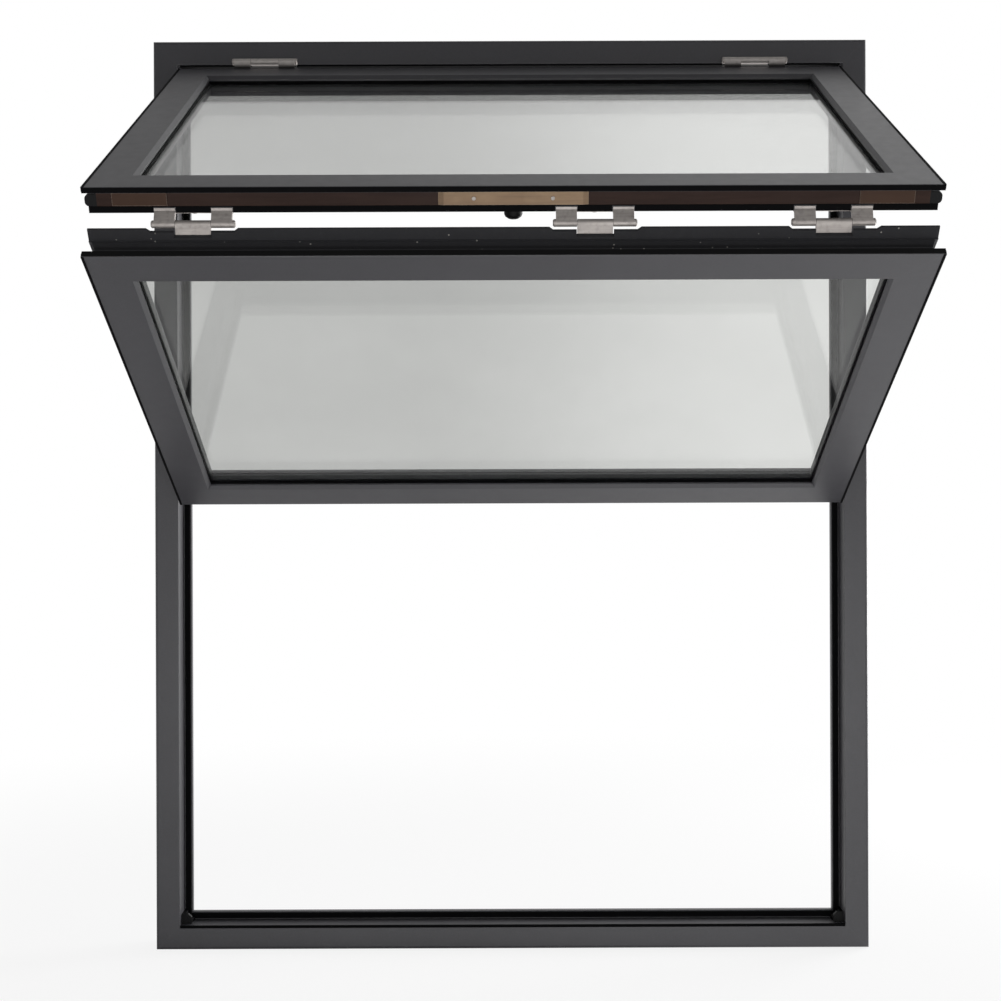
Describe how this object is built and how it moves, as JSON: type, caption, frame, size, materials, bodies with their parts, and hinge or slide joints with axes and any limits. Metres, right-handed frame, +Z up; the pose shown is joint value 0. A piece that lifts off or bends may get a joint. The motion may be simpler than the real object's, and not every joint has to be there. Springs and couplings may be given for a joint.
{
  "type": "fold-up service window",
  "caption": "Dark grey fold-up service window: wall frame with a head-hinged glazed sash and a second sash hinged below it, half folded open.",
  "frame": {"origin": "middle of the sill's underside, halfway through the frame's depth", "axes": "+X right seen from outside, +Y into the room, +Z up; outside is -Y"},
  "size_m": [1.2, 0.7198, 1.529],
  "materials": {
    "charcoal_paint": "satin powder coat",
    "clear_glass": "clear double glazing",
    "stainless": "brushed",
    "bronze_plate": "satin bronze",
    "brown_bar": "dark brown, dull",
    "black_plastic": "matt",
    "dark_spacer": "matt edge seal",
    "black_rubber": "matt"
  },
  "bodies": {
    "frame": {"frame_head": "charcoal_paint", "frame_sill": "charcoal_paint", "frame_jamb_left": "charcoal_paint", "frame_jamb_right": "charcoal_paint", "frame_seal": "black_rubber", "sill_front_strip": "black_rubber", "sill_corner_blocks": "black_plastic", "head_hinge_left_frame_leaf": "stainless", "head_hinge_right_frame_leaf": "stainless", "head_hinge_pins": "stainless"},
    "upper_sash": {"upper_top_rail": "charcoal_paint", "upper_bottom_rail": "charcoal_paint", "upper_left_stile": "charcoal_paint", "upper_right_stile": "charcoal_paint", "upper_outer_pane": "clear_glass", "upper_inner_pane": "clear_glass", "upper_glass_spacer": "dark_spacer", "upper_glazing_gasket": "black_rubber", "upper_glazing_beads": "charcoal_paint", "head_hinge_left_sash_leaf": "stainless", "head_hinge_right_sash_leaf": "stainless", "knee_hinge_left_upper_leaf": "stainless", "knee_hinge_middle_upper_leaf": "stainless", "knee_hinge_right_upper_leaf": "stainless", "knee_hinge_pins": "stainless", "lock_bar": "brown_bar", "lock_keeper": "bronze_plate", "lock_bar_end_plates": "brown_bar", "lock_knob": "black_plastic", "upper_corner_pads": "black_plastic", "upper_lip_seal": "black_rubber"},
    "lower_sash": {"lower_top_rail": "charcoal_paint", "lower_bottom_rail": "charcoal_paint", "lower_left_stile": "charcoal_paint", "lower_right_stile": "charcoal_paint", "lower_outer_pane": "clear_glass", "lower_inner_pane": "clear_glass", "lower_glass_spacer": "dark_spacer", "lower_glazing_gasket": "black_rubber", "lower_glazing_beads": "charcoal_paint", "knee_hinge_left_lower_leaf": "stainless", "knee_hinge_middle_lower_leaf": "stainless", "knee_hinge_right_lower_leaf": "stainless", "meeting_seal": "black_rubber", "lower_edge_cover": "black_rubber"}
  },
  "joints": [
    {"name": "head_fold", "type": "hinge", "parent": "frame", "child": "upper_sash", "pos_m": [0, -0.042, 1.492], "axis": [-1, 0, 0], "range_deg": [-63.2, 17]},
    {"name": "knee_fold", "type": "hinge", "parent": "upper_sash", "child": "lower_sash", "pos_m": [0, -0.66566, 1.11311], "axis": [1, 0, 0], "range_deg": [-126.71, 34.09]}
  ],
  "couplings": [
    {"joint": "knee_fold", "follows": "head_fold", "ratio": 2.0047}
  ]
}
